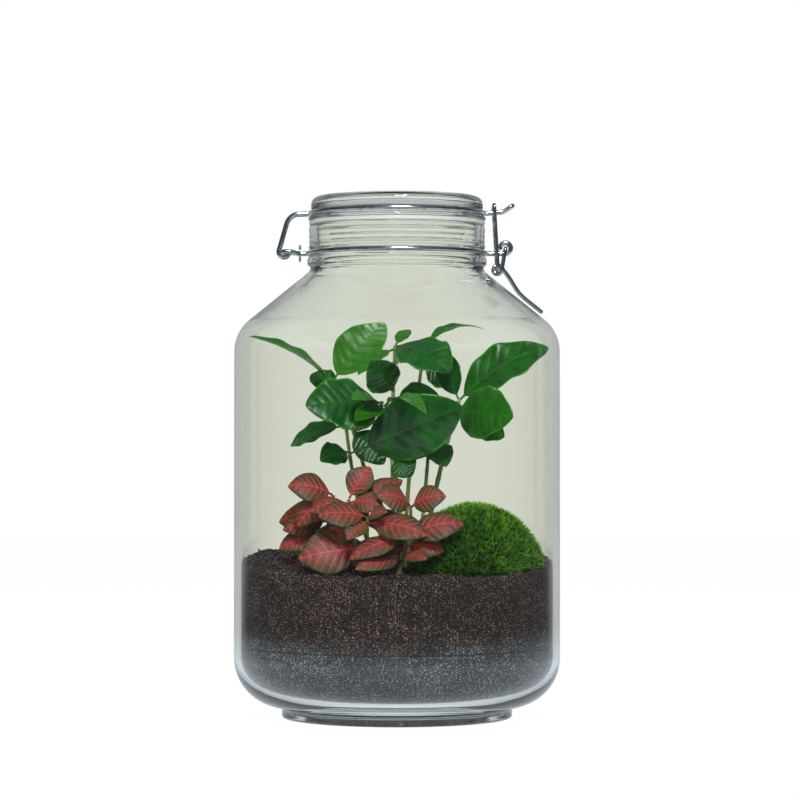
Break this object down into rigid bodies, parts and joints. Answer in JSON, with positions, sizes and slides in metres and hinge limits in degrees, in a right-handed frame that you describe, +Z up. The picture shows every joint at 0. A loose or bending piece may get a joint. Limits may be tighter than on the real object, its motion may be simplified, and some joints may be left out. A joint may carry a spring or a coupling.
{
  "type": "glass plant terrarium",
  "caption": "Closed glass jar terrarium with a wire swing-top lid, planted with coffee seedlings, red-veined nerve plants and a moss cushion on potting soil over drainage grit.",
  "frame": {"origin": "centre of the foot ring on the surface that the jar stands on", "axes": "+Z up along the jar's axis, +X towards the clasp, -X towards the hinge, the planted side that is seen first faces -Y"},
  "size_m": [0.174, 0.174, 0.278],
  "materials": {
    "jar_glass": "clear pressed glass, faintly green, glossy",
    "seal": "translucent pale silicone",
    "steel_wire": "bright drawn steel wire",
    "grit": "grey volcanic grit, rough and loose",
    "soil": "dark crumbly potting soil with pale grains, matt",
    "moss": "dense upright moss blades, bright green over dark",
    "coffee_stem": "thin green woody stem, satin",
    "coffee_leaf": "glossy dark green leaf with pale veins",
    "fittonia_stem": "soft brown-green stem, fine hairs",
    "fittonia_leaf": "dark olive leaf with a net of pink-red veins, soft sheen"
  },
  "bodies": {
    "jar": {"jar_body": "jar_glass", "neck_wire": "steel_wire", "hinge_tie_ring": "steel_wire", "drainage_grit": "grit", "potting_soil": "soil", "moss_cushion": "moss", "coffee_stem_1": "coffee_stem", "coffee_stem_2": "coffee_stem", "coffee_stem_3": "coffee_stem", "coffee_stem_4": "coffee_stem", "coffee_stem_5": "coffee_stem", "coffee_stem_6": "coffee_stem", "coffee_stem_7": "coffee_stem", "coffee_leaf_01": "coffee_leaf", "coffee_leaf_02": "coffee_leaf", "coffee_leaf_03": "coffee_leaf", "coffee_leaf_04": "coffee_leaf", "coffee_leaf_05": "coffee_leaf", "coffee_leaf_06": "coffee_leaf", "coffee_leaf_07": "coffee_leaf", "coffee_leaf_08": "coffee_leaf", "coffee_leaf_09": "coffee_leaf", "coffee_leaf_10": "coffee_leaf", "coffee_leaf_11": "coffee_leaf", "coffee_leaf_12": "coffee_leaf", "coffee_leaf_13": "coffee_leaf", "coffee_leaf_14": "coffee_leaf", "coffee_leaf_15": "coffee_leaf", "coffee_leaf_16": "coffee_leaf", "coffee_leaf_17": "coffee_leaf", "coffee_leaf_18": "coffee_leaf", "coffee_leaf_19": "coffee_leaf", "coffee_leaf_20": "coffee_leaf", "fittonia_stem_1": "fittonia_stem", "fittonia_stem_2": "fittonia_stem", "fittonia_stem_3": "fittonia_stem", "fittonia_stem_4": "fittonia_stem", "fittonia_stem_5": "fittonia_stem", "fittonia_leaf_01": "fittonia_leaf", "fittonia_leaf_02": "fittonia_leaf", "fittonia_leaf_03": "fittonia_leaf", "fittonia_leaf_04": "fittonia_leaf", "fittonia_leaf_05": "fittonia_leaf", "fittonia_leaf_06": "fittonia_leaf", "fittonia_leaf_07": "fittonia_leaf", "fittonia_leaf_08": "fittonia_leaf", "fittonia_leaf_09": "fittonia_leaf", "fittonia_leaf_10": "fittonia_leaf", "fittonia_leaf_11": "fittonia_leaf", "fittonia_leaf_12": "fittonia_leaf", "fittonia_leaf_13": "fittonia_leaf", "fittonia_leaf_14": "fittonia_leaf", "fittonia_leaf_15": "fittonia_leaf", "fittonia_leaf_16": "fittonia_leaf", "fittonia_leaf_17": "fittonia_leaf"},
    "lid": {"lid_glass": "jar_glass", "lid_gasket": "seal", "lid_wire": "steel_wire"},
    "lever": {"clasp_lever": "steel_wire"},
    "link": {"clasp_link": "steel_wire"}
  },
  "joints": [
    {"name": "lid_hinge", "type": "hinge", "parent": "jar", "child": "lid", "pos_m": [-0.0606, 0, 0.2484], "axis": [0, -1, 0], "range_deg": [0, 100]},
    {"name": "clasp_lever_hinge", "type": "hinge", "parent": "jar", "child": "lever", "pos_m": [0.058, 0, 0.2505], "axis": [0, -1, 0], "range_deg": [0, 95]},
    {"name": "clasp_link_hinge", "type": "hinge", "parent": "lever", "child": "link", "pos_m": [0.0538, 0, 0.239], "axis": [0, -1, 0], "range_deg": [-78, 0]}
  ],
  "couplings": [
    {"joint": "clasp_link_hinge", "follows": "clasp_lever_hinge", "ratio": -0.8}
  ]
}
